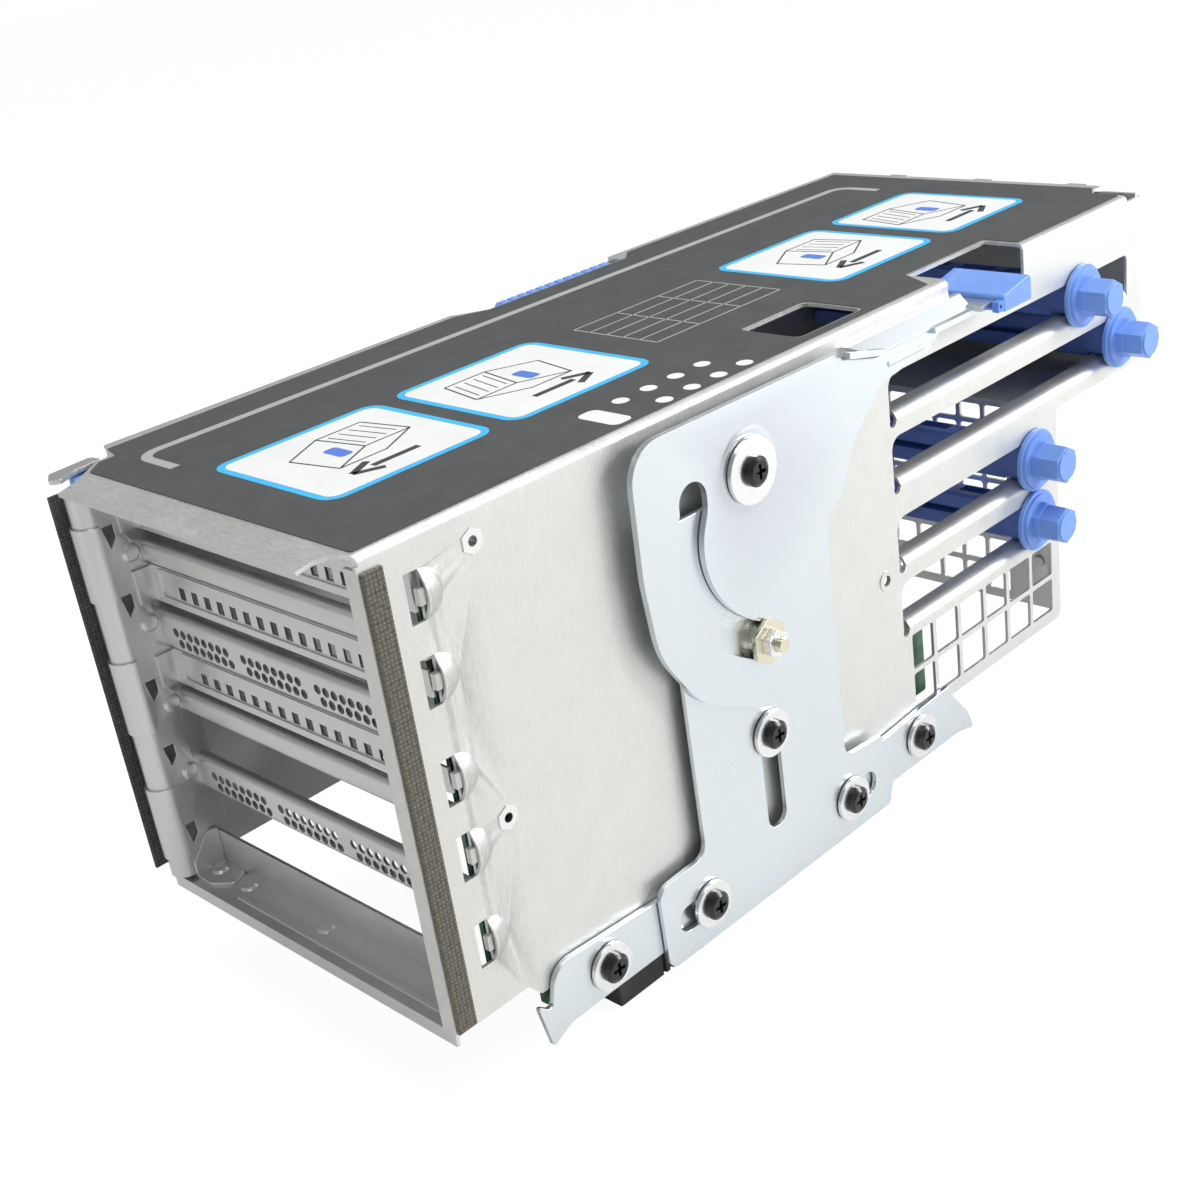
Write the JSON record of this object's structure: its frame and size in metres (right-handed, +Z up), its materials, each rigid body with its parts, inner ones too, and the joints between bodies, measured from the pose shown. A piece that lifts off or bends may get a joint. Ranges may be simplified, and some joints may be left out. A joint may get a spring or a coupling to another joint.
{
  "type": "riser cage bracket",
  "caption": "Folded sheet-steel riser cage for expansion cards, with a cam lever, slide plate and hooks on one side and sliding card holders.",
  "frame": {"origin": "middle of the dock plug's mating face, under the lever side", "axes": "+X out of the lever side, -Y out of the slot face, +Z up with the label on top"},
  "size_m": [0.1381, 0.3323, 0.1532],
  "materials": {
    "galvanised": "galvanised sheet with a fine upright grain",
    "zinc_plate": "bright bluish zinc plating",
    "bracket_zinc": "smooth zinc plating, a little cooler",
    "bright_steel": "turned bright steel",
    "yellow_zinc": "yellow passivated zinc",
    "black_screw": "black oxide",
    "black_label": "matt printed film",
    "weave_gasket": "fine conductive weave",
    "dark_gasket": "fine conductive weave",
    "blue_plastic": "semi-gloss moulded",
    "navy_plastic": "semi-gloss moulded",
    "board_green": "solder-masked board",
    "brass_post": "turned",
    "black_plastic": "glass-filled moulding"
  },
  "bodies": {
    "cage": {"cage_shell": "galvanised", "left_panel": "galvanised", "rear_wall": "galvanised", "slot_bracket": "bracket_zinc", "divider_1": "bracket_zinc", "divider_2": "bracket_zinc", "divider_3": "bracket_zinc", "divider_4": "bracket_zinc", "cross_member": "bracket_zinc", "corner_gusset": "bracket_zinc", "slot_cover_1": "bracket_zinc", "slot_cover_2": "bracket_zinc", "slot_cover_3": "bracket_zinc", "side_tab": "bracket_zinc", "corner_latch": "bracket_zinc", "floor_rivets": "bright_steel", "clinch_nuts": "bright_steel", "lever_bush": "bright_steel", "guide_bush": "bright_steel", "hook_bushes": "bright_steel", "fixed_screws": "black_screw", "top_label": "black_label", "gasket_right": "weave_gasket", "gasket_left": "dark_gasket", "side_key": "blue_plastic", "corner_key": "blue_plastic", "riser_board": "board_green", "board_posts": "brass_post", "card_sockets": "black_plastic", "dock_plug": "black_plastic"},
    "lever_arm": {"lever": "zinc_plate", "lever_grip": "blue_plastic", "grip_clip": "blue_plastic"},
    "slide": {"slide_plate": "zinc_plate", "cam_stud": "yellow_zinc", "cam_nut": "bright_steel"},
    "hook_front": {"front_hook": "zinc_plate", "front_stud": "bright_steel", "front_screw": "black_screw"},
    "hook_rear": {"rear_hook": "zinc_plate", "rear_stud": "bright_steel", "rear_screw": "black_screw"},
    "holder_1": {"holder_bar_1": "navy_plastic", "holder_knob_1": "blue_plastic"},
    "holder_2": {"holder_bar_2": "navy_plastic", "holder_knob_2": "blue_plastic"},
    "holder_3": {"holder_bar_3": "navy_plastic", "holder_knob_3": "blue_plastic"},
    "holder_4": {"holder_bar_4": "navy_plastic", "holder_knob_4": "blue_plastic"}
  },
  "joints": [
    {"name": "lever_swing", "type": "hinge", "parent": "cage", "child": "lever_arm", "pos_m": [0.0081, 0.044, 0.132], "axis": [1, 0, 0], "range_deg": [0, 75]},
    {"name": "plate_lift", "type": "slide", "parent": "cage", "child": "slide", "axis": [0, 0, 1], "range_m": [0, 0.0254]},
    {"name": "front_hook_turn", "type": "hinge", "parent": "cage", "child": "hook_front", "pos_m": [0.0081, -0.0224, 0.0213], "axis": [1, 0, 0], "range_deg": [0, 42.2]},
    {"name": "rear_hook_turn", "type": "hinge", "parent": "cage", "child": "hook_rear", "pos_m": [0.0081, 0.1122, 0.0213], "axis": [1, 0, 0], "range_deg": [-42.2, 0]},
    {"name": "holder_1_slide", "type": "slide", "parent": "cage", "child": "holder_1", "axis": [0, 1, 0], "range_m": [-0.0935, 0.0224]},
    {"name": "holder_2_slide", "type": "slide", "parent": "cage", "child": "holder_2", "axis": [0, 1, 0], "range_m": [-0.1155, 0]},
    {"name": "holder_3_slide", "type": "slide", "parent": "cage", "child": "holder_3", "axis": [0, 1, 0], "range_m": [-0.0645, 0]},
    {"name": "holder_4_slide", "type": "slide", "parent": "cage", "child": "holder_4", "axis": [0, 1, 0], "range_m": [-0.064, 0]}
  ],
  "couplings": [
    {"joint": "plate_lift", "follows": "lever_swing", "m_per_rad": 0.019328},
    {"joint": "front_hook_turn", "follows": "lever_swing", "ratio": 0.56},
    {"joint": "rear_hook_turn", "follows": "lever_swing", "ratio": -0.56}
  ]
}
